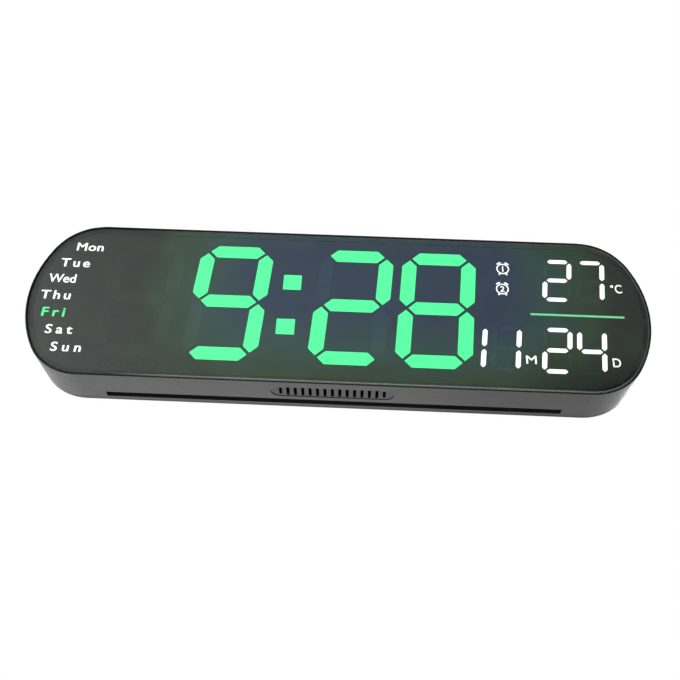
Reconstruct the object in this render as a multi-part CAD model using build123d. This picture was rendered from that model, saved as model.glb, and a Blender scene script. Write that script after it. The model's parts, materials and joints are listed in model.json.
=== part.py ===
from build123d import *
from collections import namedtuple
import math
import os

# Digital wall clock, in millimetres: +X is the viewer's right, +Z is up and the front faces -Y.
# The origin is the middle of the flat back. A depth is a distance from the wall, largest at the front.

# Overall size
LENGTH = 412.0
HEIGHT = 120.0
DEPTH = 34.5
CORNER_R = 37.7
END_SWELL = 5.9
BACK_DRAW = 1.85
EDGE_R = 0.5

# Housing wall, rim and panel seat
WALL = 3.2
RIM_W = 0.8
LEDGE_W = 1.4
LEDGE_T = 2.0
SEAT_GAP = 0.3
OVERRUN = 0.5

# Front panel, its tape and the printed mask
PANEL_T = 1.8
PANEL_RECESS = 0.1
PANEL_GAP = 0.4
PANEL_CHAMFER = 1.0
TAPE_T = 0.3
PANEL_AIR = 0.2
MASK_T = 0.2

# Light box behind the mask
BOX_DEPTH = 9.0
BOX_PLATE_T = 1.5
BOX_WALL = 1.2
BOX_FLANGE_T = 2.0
DIFFUSER_T = 3.0
DIFFUSER_GAP = 0.1
DIFFUSER_SEAT = 0.3

# Time digits: margins and gaps round them, and the bars that draw them
TIME_TOP_MARGIN = 12.2
TIME_BOTTOM_MARGIN = 15.9
TIME_LEFT_ZONE = 49.5
TIME_RIGHT_ZONE = 114.9
HOUR_GAP = 9.4
MINUTE_GAP = 6.2
COLON_ZONE = 32.4
TIME_BAR_W = 9.7
TIME_SETBACK = 1.6
TIME_SLANT_DEG = 3.3
COLON_DOT = 12.0
COLON_SPREAD = 17.9
COLON_SHIFT = 0.75
COLON_DROP = 0.55

# Side digits for the temperature, month and day, with the divider between them
SIDE_TOP_MARGIN = 13.8
SIDE_GAP_OVER = 10.9
SIDE_GAP_UNDER = 10.3
SIDE_BAR_W = 3.1
SIDE_SETBACK = 1.1
SIDE_SPAN = 16.0
SIDE_PITCH = 22.2
SIDE_SLANT_DEG = 5.0
TEMPERATURE_END = 36.2
DAY_END = 40.2
MONTH_END = 95.2
DIVIDER_L = 61.4
DIVIDER_T = 1.5
DIVIDER_END = 16.5
DIVIDER_RISE = 0.6

# Lit windows for the weekday names, the alarm signs and the unit signs
WEEKDAY_W = 23.6
WEEKDAY_H = 9.4
WEEKDAY_TOP_MARGIN = 16.5
WEEKDAY_BOTTOM_MARGIN = 21.5
WEEKDAY_INSETS = (9.4, 8.2, 6.9, 5.8, 8.0, 9.4, 10.8)
WEEKDAY_ON = 4
ALARM_W = 12.0
ALARM_H = 14.0
ALARM_END = 95.0
ALARM_OVER = 8.6
SIGN_W = 7.6
SIGN_H = 8.4
DEGREE_END = 18.7
SIGN_GAP = 4.6
SIGN_DROP = 7.9
DEGREE_DROP = 5.0

# Bottom wall: vent grille in a shallow dish, and the long slot near the wall
VENT_COUNT = 15
VENT_PITCH = 4.74
VENT_W = 2.0
VENT_L = 10.4
VENT_END_L = 7.8
VENT_SETBACK = 13.1
DISH_SIDE = 1.1
DISH_END = 5.4
DISH_D = 0.7
SLOT_L = 296.0
SLOT_W = 6.0
SLOT_BACK = 5.2
SLOT_D = 5.4
CHANNEL_WALL = 1.2

# Circuit board behind the light box
BOARD_T = 1.6
BOARD_RELIEF = 5.0
BOARD_RELIEF_SIDE = 5.0
LED_L = 3.5
LED_W = 2.8
LED_H = 1.4
MINI_LED_L = 1.0
MINI_LED_W = 0.5
MINI_LED_H = 0.6
CHIP_COUNT = 3
CHIP_L = 18.0
CHIP_W = 7.6
CHIP_H = 2.4
CHIP_PITCH = 44.0
CHIP_RISE = 14.0
CONTROLLER_SIDE = 10.0
CONTROLLER_H = 1.5
CRYSTAL_L = 11.0
CRYSTAL_W = 4.6
CRYSTAL_H = 3.5
CRYSTAL_GAP = 3.0
CAPACITOR_COUNT = 2
CAPACITOR_R = 3.2
CAPACITOR_H = 7.0
CAPACITOR_PITCH = 9.0
CAPACITOR_X = -58.0
CAPACITOR_Z = -26.0
BUZZER_R = 6.0
BUZZER_H = 8.5
BUZZER_HOLE_R = 1.0
BUZZER_RISE = 20.0
SENSOR_R = 1.2
SENSOR_L = 4.0
SENSOR_X = 22.0
SENSOR_RISE = 14.0

# Fasteners and the posts that take them
BOSS_R = 3.0
WEB_W = 2.4
WEB_BED = 0.5
HEAD_LAND = 0.8
BOSS_XS_SHARES = (-0.385, -0.135, 0.135, 0.385)
POST_R = 2.6
POST_TOP_SHARES = (-0.26, 0.0, 0.26)
POST_BOTTOM_SHARES = (-0.26, 0.26)
SCREW_R = 1.3
SCREW_HEAD_R = 2.5
SCREW_HEAD_H = 1.4
SCREW_SINK = 0.2
SCREW_L = 10.0
SHORT_SCREW_L = 5.6
SCREW_CLEAR = 0.3
DRIVE_L = 2.8
DRIVE_W = 0.6
DRIVE_D = 0.8

# Rear cover with its hanging holes
COVER_T = 2.5
COVER_GAP = 0.25
COVER_RIB_T = 1.2
COVER_RIB_H = 1.2
COVER_RIB_BACK = 1.0
KEYHOLE_SPACING = 300.0
KEYHOLE_RISE = 24.0
KEYHOLE_R = 4.5
KEYHOLE_SLOT_W = 4.6
KEYHOLE_SLOT_RUN = 9.0

# Control board carried by the rear cover
CONTROL_STANDOFF = 7.5
CONTROL_T = 1.6
CONTROL_W = 104.0
CONTROL_H = 52.0
CONTROL_X = 86.0
CONTROL_POST_INSET = 5.0
CONTROL_CORNER_R = 2.0

# Rear keys and their switches
KEY_PITCH = 16.0
KEY_START = 18.0
KEY_RISE = 14.0
KEY_R = 4.0
KEY_GAP = 0.3
KEY_SINK = 0.4
KEY_FLANGE_R = 5.2
KEY_FLANGE_T = 1.2
KEY_STEM_R = 2.0
KEY_DISH = 0.3
KEY_TRAVEL = 0.5
SWITCH_SIDE = 6.0
SWITCH_H = 3.5
PLUNGER_R = 1.7
PLUNGER_OUT = 1.5
PLUNGER_IN = 2.0

# Coin cell, its holder and the twist-off door
CELL_R = 10.0
CELL_T = 3.2
CELL_X_INSET = 32.0
CELL_Z = -9.0
HOLDER_WALL = 1.7
HOLDER_FLOOR = 0.4
HOLDER_GAP = 0.2
CLIP_L = 5.0
CLIP_T = 0.4
CLIP_REACH = 1.5
DOOR_R = 13.0
DOOR_T = 1.2
DOOR_SINK = 0.1
DOOR_GAP = 0.3
DOOR_BOSS_R = 10.9
DOOR_BOSS_WALL = 1.5
DOOR_BOSS_H = 3.2
DOOR_LUG_OUT = 1.8
DOOR_LUG_T = 1.2
DOOR_LUG_DEG = 36.0
DOOR_NOTCH_DEG = 44.0
DOOR_TURN_DEG = 60.0
COIN_SLOT_L = 16.0
COIN_SLOT_W = 1.8
COIN_SLOT_D = 0.7

# Power socket and the well that its plug goes into
SOCKET_L = 7.3
SOCKET_W = 8.9
SOCKET_H = 3.2
SOCKET_WALL = 0.35
SOCKET_GAP = 0.25
SOCKET_Z = -8.0
TONGUE_L = 5.2
TONGUE_W = 6.7
TONGUE_T = 0.7
WELL_L = 32.0
WELL_H = 14.0
WELL_D = 12.5
WELL_WALL = 1.5
WELL_GAP = 0.5

# Header that joins the two boards
PIN_COUNT = 8
PIN_PITCH = 2.54
PIN_SIDE = 0.64
PIN_L = 6.0
HEADER_W = 2.5
HEADER_BASE = 2.5
HEADER_INSET = 34.0
HEADER_Z = -19.0
PIN_CLEAR = 0.15

# Shape of the outline's ends, and the stack of depths from the front to the wall
END_RUN = CORNER_R + END_SWELL
HALF_L = LENGTH / 2
HALF_H = HEIGHT / 2
END_R = (END_RUN**2 + HALF_H**2 - HEIGHT * CORNER_R) / (2 * END_SWELL)
PANEL_FRONT = DEPTH - PANEL_RECESS
PANEL_BACK = PANEL_FRONT - PANEL_T
LEDGE_FRONT = PANEL_BACK - TAPE_T
LEDGE_BACK = LEDGE_FRONT - LEDGE_T
MASK_FRONT = PANEL_BACK - PANEL_AIR
MASK_BACK = MASK_FRONT - MASK_T
BOX_BACK = MASK_BACK - BOX_DEPTH
BOX_PLATE_BACK = MASK_BACK - BOX_PLATE_T
DIFFUSER_BACK = MASK_FRONT - DIFFUSER_T
BOARD_BACK = BOX_BACK - BOARD_T
CONTROL_BACK = COVER_T + CONTROL_STANDOFF
CONTROL_FRONT = CONTROL_BACK + CONTROL_T
LEDGE_INSET = WALL + LEDGE_W
BOX_INSET = LEDGE_INSET + SEAT_GAP
BOARD_INSET = WALL + SEAT_GAP
BOSS_Z = HALF_H - WALL - COVER_GAP - HEAD_LAND - SCREW_CLEAR - SCREW_HEAD_R
POST_Z = HALF_H - WALL - SCREW_CLEAR - SCREW_HEAD_R


def capsule(inset):
    """Front outline drawn in by inset: long straight sides, and ends of a flat arc between corner arcs."""
    corner_r = CORNER_R - inset
    end_r = END_R - inset
    side = HALF_H - inset
    corner_x = HALF_L - END_RUN
    corner_z = HALF_H - CORNER_R
    end_x = HALF_L - END_R
    turn = math.degrees(math.atan2(corner_z, corner_x - end_x))
    sweep = 90 - turn
    return make_face(
        [
            Line((-corner_x, side), (corner_x, side)),
            CenterArc((corner_x, corner_z), corner_r, 90, -sweep),
            CenterArc((end_x, 0), end_r, turn, -2 * turn),
            CenterArc((corner_x, -corner_z), corner_r, -turn, -sweep),
            Line((corner_x, -side), (-corner_x, -side)),
            CenterArc((-corner_x, -corner_z), corner_r, 270, -sweep),
            CenterArc((-end_x, 0), end_r, 180 + turn, -2 * turn),
            CenterArc((-corner_x, corner_z), corner_r, 180 - turn, -sweep),
        ]
    )


def end_reach(z):
    """Half length of the front outline at height z."""
    corner_z = HALF_H - CORNER_R
    turn = math.atan2(corner_z, END_R - END_RUN)
    if abs(z) <= END_R * math.sin(turn):
        return HALF_L - END_R + math.sqrt(END_R**2 - z**2)
    return HALF_L - END_RUN + math.sqrt(CORNER_R**2 - (abs(z) - corner_z) ** 2)


def prism(sketch, back, front):
    """Solid over a front-view sketch, from one depth to a larger one."""
    return extrude(Plane.XZ.offset(back) * sketch, front - back, dir=(0, -1, 0))


def rod(x, z, radius, back, front):
    """Round bar along the depth."""
    return prism(Pos(x, z) * Circle(radius), back, front)


def block(x, z, width, height, back, front):
    """Square-edged block centred on a place of the front view."""
    return prism(Pos(x, z) * Rectangle(width, height), back, front)


def stand(x, z, radius, grow, back, front):
    """Screw post with a web to the long wall beside it, made larger all round by grow."""
    side = math.copysign(1, z)
    web_h = HALF_H - WALL + WEB_BED - abs(z)
    web = block(x, side * (abs(z) + web_h / 2), WEB_W + 2 * grow, web_h, back, front)
    return rod(x, z, radius + grow, back, front) + web


def group(pieces):
    """Separate solids that share one node."""
    return Compound(children=[solid for piece in pieces for solid in piece.solids()])


# Places of the cover bosses and of the shorter posts that carry the circuit board
boss_places = [(share * LENGTH, side * BOSS_Z) for share in BOSS_XS_SHARES for side in (1, -1)]
post_places = [(share * LENGTH, POST_Z) for share in POST_TOP_SHARES]
post_places += [(share * LENGTH, -POST_Z) for share in POST_BOTTOM_SHARES]

# Display cells: every lit bar, dot and window
DigitSize = namedtuple("DigitSize", "span half bar_w setback slant_deg")
BAR_PLACE_SHARES = {
    "a": (0, 1),
    "b": (0.5, 0.5),
    "c": (0.5, -0.5),
    "d": (0, -1),
    "e": (-0.5, -0.5),
    "f": (-0.5, 0.5),
    "g": (0, 0),
}
UPRIGHT_BARS = "bcef"

time_free = LENGTH - TIME_LEFT_ZONE - TIME_RIGHT_ZONE - HOUR_GAP - MINUTE_GAP - COLON_ZONE
time_digit_w = time_free / 4
time_half = (HEIGHT - TIME_TOP_MARGIN - TIME_BOTTOM_MARGIN - TIME_BAR_W) / 2
TIME_SIZE = DigitSize(time_digit_w - TIME_BAR_W, time_half, TIME_BAR_W, TIME_SETBACK, TIME_SLANT_DEG)
time_z = (TIME_BOTTOM_MARGIN - TIME_TOP_MARGIN) / 2
hour_tens_x = -HALF_L + TIME_LEFT_ZONE + time_digit_w / 2
hour_units_x = hour_tens_x + time_digit_w + HOUR_GAP
colon_x = hour_units_x + time_digit_w / 2 + COLON_ZONE / 2
minute_tens_x = colon_x + COLON_ZONE / 2 + time_digit_w / 2
minute_units_x = minute_tens_x + time_digit_w + MINUTE_GAP

side_half = (HALF_H - SIDE_TOP_MARGIN - DIVIDER_RISE - SIDE_GAP_OVER - SIDE_BAR_W) / 2
SIDE_SIZE = DigitSize(SIDE_SPAN, side_half, SIDE_BAR_W, SIDE_SETBACK, SIDE_SLANT_DEG)
side_over_z = DIVIDER_RISE + SIDE_GAP_OVER + side_half + SIDE_BAR_W / 2
side_under_z = DIVIDER_RISE - SIDE_GAP_UNDER - side_half - SIDE_BAR_W / 2
temperature_x = HALF_L - TEMPERATURE_END
day_x = HALF_L - DAY_END
month_x = HALF_L - MONTH_END

# Each readout: its digits as (x, z, size, bars that exist, bars that are on)
READOUTS = {
    "hour_tens": [(hour_tens_x, time_z, TIME_SIZE, "abcdefg", "")],
    "hour_units": [(hour_units_x, time_z, TIME_SIZE, "abcdefg", "abcdfg")],
    "minute_tens": [(minute_tens_x, time_z, TIME_SIZE, "abcdefg", "abdeg")],
    "minute_units": [(minute_units_x, time_z, TIME_SIZE, "abcdefg", "abcdefg")],
    "temperature": [
        (temperature_x - SIDE_PITCH, side_over_z, SIDE_SIZE, "abcdefg", "abdeg"),
        (temperature_x, side_over_z, SIDE_SIZE, "abcdefg", "abc"),
    ],
    "month": [
        (month_x - SIDE_PITCH, side_under_z, SIDE_SIZE, "bc", "bc"),
        (month_x, side_under_z, SIDE_SIZE, "abcdefg", "bc"),
    ],
    "day": [
        (day_x - SIDE_PITCH, side_under_z, SIDE_SIZE, "abcdefg", "abdeg"),
        (day_x, side_under_z, SIDE_SIZE, "abcdefg", "bcfg"),
    ],
}


def bar_outline(digit, bar, grow):
    """One pointed bar of a leaning seven-bar digit, made larger all round by grow."""
    x, z, size = digit[:3]
    share_x, share_z = BAR_PLACE_SHARES[bar]
    upright = bar in UPRIGHT_BARS
    run = (size.half if upright else size.span) - 2 * size.setback
    half_w = size.bar_w / 2 + grow
    tip = run / 2 + grow * math.sqrt(2)
    flat = tip - half_w
    points = [(-tip, 0), (-flat, half_w), (flat, half_w), (tip, 0), (flat, -half_w), (-flat, -half_w)]
    if upright:
        points = [(across, along) for along, across in points]
    lean = math.tan(math.radians(size.slant_deg))
    local = [(share_x * size.span + px, share_z * size.half + pz) for px, pz in points]
    return make_face(Polyline(*[(x + px + lean * pz, z + pz) for px, pz in local], close=True))


def box_outline(cell, grow):
    """Rectangular cell made larger all round by grow."""
    x, z, width, height = cell
    return Pos(x, z) * Rectangle(width + 2 * grow, height + 2 * grow)


def bar_lights(digit, bar):
    """Places of the two lights under a time bar, or of the one under a side bar."""
    x, z, size = digit[:3]
    share_x, share_z = BAR_PLACE_SHARES[bar]
    lean = math.tan(math.radians(size.slant_deg))
    offsets = (-size.span / 4, size.span / 4) if size is TIME_SIZE else (0,)
    places = []
    for offset in offsets:
        px = share_x * size.span + (0 if bar in UPRIGHT_BARS else offset)
        pz = share_z * size.half + (offset if bar in UPRIGHT_BARS else 0)
        places.append((x + px + lean * pz, z + pz))
    return places


bars = [(name, digit, bar) for name, digits in READOUTS.items() for digit in digits for bar in digit[3]]

colon_lean = math.tan(math.radians(TIME_SLANT_DEG))
colon_cells = []
for side in (1, -1):
    dot_x = colon_x - COLON_SHIFT + side * colon_lean * COLON_SPREAD
    colon_cells.append((dot_x, time_z - COLON_DROP + side * COLON_SPREAD, COLON_DOT, COLON_DOT))
divider_cell = (HALF_L - DIVIDER_END - DIVIDER_L / 2, DIVIDER_RISE, DIVIDER_L, DIVIDER_T)
weekday_pitch = (HEIGHT - WEEKDAY_TOP_MARGIN - WEEKDAY_BOTTOM_MARGIN) / (len(WEEKDAY_INSETS) - 1)
weekday_cells = []
for row, inset in enumerate(WEEKDAY_INSETS):
    row_z = HALF_H - WEEKDAY_TOP_MARGIN - row * weekday_pitch
    weekday_cells.append((-end_reach(row_z) + inset + WEEKDAY_W / 2, row_z, WEEKDAY_W, WEEKDAY_H))
alarm_cells = [(HALF_L - ALARM_END, side_over_z + side * ALARM_OVER, ALARM_W, ALARM_H) for side in (1, -1)]
digit_edge = (SIDE_SPAN + SIDE_BAR_W) / 2 + SIGN_GAP
sign_cells = [
    (HALF_L - DEGREE_END, side_over_z - DEGREE_DROP, SIGN_W, SIGN_H),
    (month_x + digit_edge, side_under_z - SIGN_DROP, SIGN_W, SIGN_H),
    (day_x + digit_edge, side_under_z - SIGN_DROP, SIGN_W, SIGN_H),
]
open_cells = colon_cells + [divider_cell]
covered_cells = weekday_cells + alarm_cells + sign_cells


def open_outlines(grow):
    """Outlines of the cells that show through the mask."""
    outlines = [bar_outline(digit, bar, grow) for _, digit, bar in bars]
    return outlines + [box_outline(cell, grow) for cell in open_cells]


def covered_outlines(grow):
    """Outlines of the cells that the mask covers, kept clear of the light box's edge."""
    limit = capsule(BOX_INSET + BOX_WALL - grow)
    return [limit & box_outline(cell, grow) for cell in covered_cells]


def make_front_frame():
    """Housing with its rim, panel seat, side wall, screw bosses, vent grille and bottom slot."""
    draw_deg = math.degrees(math.atan2(BACK_DRAW, DEPTH))
    shell = extrude(Plane.XZ.offset(DEPTH) * capsule(0), DEPTH, dir=(0, 1, 0), taper=draw_deg)
    shell = fillet(shell.faces().sort_by(Axis.Y)[0].edges(), EDGE_R)
    shell = fillet(shell.faces().sort_by(Axis.Y)[-1].edges(), EDGE_R)
    hollow = prism(capsule(WALL), -OVERRUN, LEDGE_BACK)
    throat = prism(capsule(LEDGE_INSET), LEDGE_BACK, LEDGE_FRONT)
    rebate = prism(capsule(RIM_W), LEDGE_FRONT, DEPTH + OVERRUN)
    frame = shell - (hollow + throat + rebate)
    frame += [stand(x, z, BOSS_R, 0, COVER_T, LEDGE_BACK) for x, z in boss_places]
    frame += [stand(x, z, POST_R, 0, BOX_BACK, LEDGE_BACK) for x, z in post_places]
    channel_w = SLOT_W + 2 * CHANNEL_WALL
    channel = Pos(0, -SLOT_BACK - SLOT_W / 2) * Rectangle(SLOT_L + 2 * CHANNEL_WALL, channel_w)
    channel_h = SLOT_D + CHANNEL_WALL - WALL + WEB_BED
    frame += extrude(Plane.XY.offset(WALL - WEB_BED - HALF_H) * channel, channel_h)
    frame -= [rod(x, z, SCREW_R, COVER_T - OVERRUN, COVER_T + SCREW_L) for x, z in boss_places]
    frame -= [rod(x, z, SCREW_R, BOX_BACK - OVERRUN, BOX_BACK + SHORT_SCREW_L) for x, z in post_places]
    underside = Plane.XY.offset(-HALF_H - OVERRUN)
    vent_y = VENT_SETBACK - DEPTH
    vent_x = (VENT_COUNT - 1) / 2 * VENT_PITCH
    dish_l = 2 * vent_x + VENT_W + 2 * DISH_END
    dish = Pos(0, vent_y) * SlotOverall(dish_l, VENT_L + 2 * DISH_SIDE)
    vent_draw = BACK_DRAW * VENT_SETBACK / DEPTH
    frame -= extrude(underside * dish, OVERRUN + vent_draw + DISH_D)
    vents = Sketch()
    for row in range(VENT_COUNT):
        vent_l = VENT_END_L if row in (0, VENT_COUNT - 1) else VENT_L
        vents += Pos(row * VENT_PITCH - vent_x, vent_y) * SlotOverall(vent_l, VENT_W, rotation=90)
    frame -= extrude(underside * vents, WALL + 2 * OVERRUN)
    slot = Pos(0, -SLOT_BACK - SLOT_W / 2) * Rectangle(SLOT_L, SLOT_W)
    return frame - extrude(underside * slot, OVERRUN + SLOT_D)


def make_front_panel():
    """Smoked sheet let into the rim, with a chamfered front edge."""
    panel = prism(capsule(RIM_W + PANEL_GAP), PANEL_BACK, PANEL_FRONT)
    return chamfer(panel.faces().sort_by(Axis.Y)[0].edges(), PANEL_CHAMFER)


def make_panel_tape():
    """Ring of adhesive between the panel and its seat."""
    return prism(capsule(RIM_W + PANEL_GAP) - capsule(LEDGE_INSET), LEDGE_FRONT, PANEL_BACK)


def clear_stands(piece, places, radius, back, front):
    """Notch a piece round the housing's screw posts."""
    return piece - [stand(x, z, radius, SEAT_GAP, back - OVERRUN, front + OVERRUN) for x, z in places]


def make_light_box():
    """Moulded grid: front plate on the mask, walls round every cell, flange behind the panel seat."""
    plate = prism(capsule(BOX_INSET), BOX_PLATE_BACK, MASK_BACK)
    skirt = prism(capsule(BOX_INSET) - capsule(BOX_INSET + BOX_WALL), BOX_BACK, BOX_PLATE_BACK)
    flange_ring = capsule(BOARD_INSET) - capsule(BOX_INSET + BOX_WALL)
    flange = prism(flange_ring, LEDGE_BACK - BOX_FLANGE_T, LEDGE_BACK)
    cell_walls = Sketch() + (open_outlines(BOX_WALL) + covered_outlines(BOX_WALL))
    box = plate + skirt + flange + prism(cell_walls, BOX_BACK, BOX_PLATE_BACK)
    pockets = Sketch() + (open_outlines(DIFFUSER_GAP) + covered_outlines(DIFFUSER_GAP))
    funnels = Sketch() + (open_outlines(-DIFFUSER_SEAT) + covered_outlines(-DIFFUSER_SEAT))
    box -= prism(pockets, DIFFUSER_BACK, MASK_BACK + OVERRUN)
    box -= prism(funnels, BOX_BACK - OVERRUN, DIFFUSER_BACK)
    box = clear_stands(box, post_places, POST_R, BOX_BACK, LEDGE_BACK)
    return clear_stands(box, boss_places, BOSS_R, BOX_BACK, LEDGE_BACK)


def make_display_mask():
    """Black printed film with an opening for every bar and dot."""
    film = prism(capsule(BOX_INSET), MASK_BACK, MASK_FRONT)
    return film - prism(Sketch() + open_outlines(DIFFUSER_GAP), MASK_BACK - OVERRUN, MASK_FRONT + OVERRUN)


def make_readouts():
    """Diffuser bars of each readout, apart for those that are on and those that are off."""
    nodes = {}
    for name, digits in READOUTS.items():
        for state in ("on", "off"):
            chosen = [
                prism(bar_outline(digit, bar, 0), DIFFUSER_BACK, MASK_FRONT)
                for digit in digits
                for bar in digit[3]
                if (bar in digit[4]) == (state == "on")
            ]
            if chosen:
                nodes[f"{name}_bars_{state}"] = group(chosen)
    return nodes


def make_windows():
    """Diffusers of the colon, the divider and the windows behind the mask."""
    weekdays = covered_outlines(0)[: len(weekday_cells)]
    signs = covered_outlines(0)[len(weekday_cells) :]
    plates = [prism(outline, DIFFUSER_BACK, MASK_BACK) for outline in weekdays]
    lit_plate = plates.pop(WEEKDAY_ON)
    return {
        "colon_dots": group(prism(box_outline(cell, 0), DIFFUSER_BACK, MASK_FRONT) for cell in colon_cells),
        "divider_bar": prism(box_outline(divider_cell, 0), DIFFUSER_BACK, MASK_FRONT),
        "weekday_windows": group(plates),
        "today_window": lit_plate,
        "sign_windows": group(prism(outline, DIFFUSER_BACK, MASK_BACK) for outline in signs),
    }


def make_main_board():
    """Circuit board that closes the light box, notched for the bosses and relieved over the vents."""
    board = prism(capsule(BOARD_INSET), BOARD_BACK, BOX_BACK)
    cut_back = BOARD_BACK - OVERRUN
    cut_front = BOX_BACK + OVERRUN
    board -= [rod(x, z, SCREW_R + SCREW_CLEAR, cut_back, cut_front) for x, z in post_places]
    relief_w = (VENT_COUNT - 1) * VENT_PITCH + 2 * BOARD_RELIEF_SIDE
    relief_h = BOARD_RELIEF + BOARD_INSET
    board -= block(0, relief_h / 2 - HALF_H, relief_w, relief_h, cut_back, cut_front)
    return clear_stands(board, boss_places, BOSS_R, BOARD_BACK, BOX_BACK)


def make_leds():
    """Surface-mounted lights on the front of the circuit board: small ones under the thin bars."""
    places = [cell[:2] for cell in colon_cells + covered_cells]
    mini_places = [divider_cell[:2]]
    for _, digit, bar in bars:
        row = places if digit[2] is TIME_SIZE else mini_places
        row.extend(bar_lights(digit, bar))
    mini_front = BOX_BACK + MINI_LED_H
    lights = [block(x, z, LED_L, LED_W, BOX_BACK, BOX_BACK + LED_H) for x, z in places]
    lights += [block(x, z, MINI_LED_L, MINI_LED_W, BOX_BACK, mini_front) for x, z in mini_places]
    return group(lights)


def make_board_parts():
    """Chips, crystal, capacitors, buzzer and temperature sensor on the back of the circuit board."""
    chip_xs = [(row - (CHIP_COUNT - 1) / 2) * CHIP_PITCH for row in range(CHIP_COUNT)]
    chips = [block(x, CHIP_RISE, CHIP_L, CHIP_W, BOARD_BACK - CHIP_H, BOARD_BACK) for x in chip_xs]
    crystal_x = CONTROLLER_SIDE / 2 + CRYSTAL_GAP + CRYSTAL_L / 2
    crystal = Pos(crystal_x, 0) * SlotOverall(CRYSTAL_L, CRYSTAL_W)
    can_back = BOARD_BACK - CAPACITOR_H
    can_xs = [CAPACITOR_X - row * CAPACITOR_PITCH for row in range(CAPACITOR_COUNT)]
    capacitors = [rod(x, CAPACITOR_Z, CAPACITOR_R, can_back, BOARD_BACK) for x in can_xs]
    buzzer_z = BUZZER_RISE - HALF_H
    buzzer = rod(0, buzzer_z, BUZZER_R, BOARD_BACK - BUZZER_H, BOARD_BACK)
    buzzer -= rod(0, buzzer_z, BUZZER_HOLE_R, BOARD_BACK - BUZZER_H - OVERRUN, BOARD_BACK - BUZZER_H / 2)
    controller_back = BOARD_BACK - CONTROLLER_H
    sensor_z = SENSOR_RISE - HALF_H
    return {
        "driver_chips": group(chips),
        "controller_chip": block(0, 0, CONTROLLER_SIDE, CONTROLLER_SIDE, controller_back, BOARD_BACK),
        "crystal": prism(crystal, BOARD_BACK - CRYSTAL_H, BOARD_BACK),
        "capacitors": group(capacitors),
        "buzzer": buzzer,
        "temperature_sensor": rod(SENSOR_X, sensor_z, SENSOR_R, BOARD_BACK - SENSOR_L, BOARD_BACK),
    }


def screw(x, z, seat, length, inward):
    """Cross-head screw with the underside of its head at a depth, its shank going in or out from there."""
    top = seat - inward * SCREW_HEAD_H
    head_back, head_front = sorted((seat, top))
    shank_back, shank_front = sorted((seat, seat + inward * length))
    drive_back, drive_front = sorted((top, top + inward * DRIVE_D))
    body = rod(x, z, SCREW_HEAD_R, head_back, head_front) + rod(x, z, SCREW_R, shank_back, shank_front)
    body -= block(x, z, DRIVE_L, DRIVE_W, drive_back, drive_front)
    return body - block(x, z, DRIVE_W, DRIVE_L, drive_back, drive_front)


# Places on the rear cover, worked out from the control board that it carries
control_left = CONTROL_X - CONTROL_W / 2
control_right = CONTROL_X + CONTROL_W / 2
KEY_NAMES = ("mode_key", "set_key", "up_key", "down_key")
key_places = [(control_left + KEY_START + row * KEY_PITCH, KEY_RISE) for row in range(len(KEY_NAMES))]
cell_x = control_left + CELL_X_INSET
control_post_x = CONTROL_W / 2 - CONTROL_POST_INSET
control_post_z = CONTROL_H / 2 - CONTROL_POST_INSET
control_posts = [(CONTROL_X + sx * control_post_x, sz * control_post_z) for sx in (1, -1) for sz in (1, -1)]
well_left = control_right + WELL_GAP
well_x = well_left + WELL_WALL + WELL_L / 2
keyhole_places = [(side * KEYHOLE_SPACING / 2, KEYHOLE_RISE) for side in (1, -1)]


def sector(radius, width_deg, middle_deg, back, front):
    """Slice of a disc about the cell's axis, for the door's lugs and their notches."""
    start = middle_deg - width_deg / 2
    arc = CenterArc((0, 0), radius, start, width_deg)
    face = make_face([arc, Line((0, 0), arc @ 0), Line((0, 0), arc @ 1)])
    return prism(Pos(cell_x, CELL_Z) * face, back, front)


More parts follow.
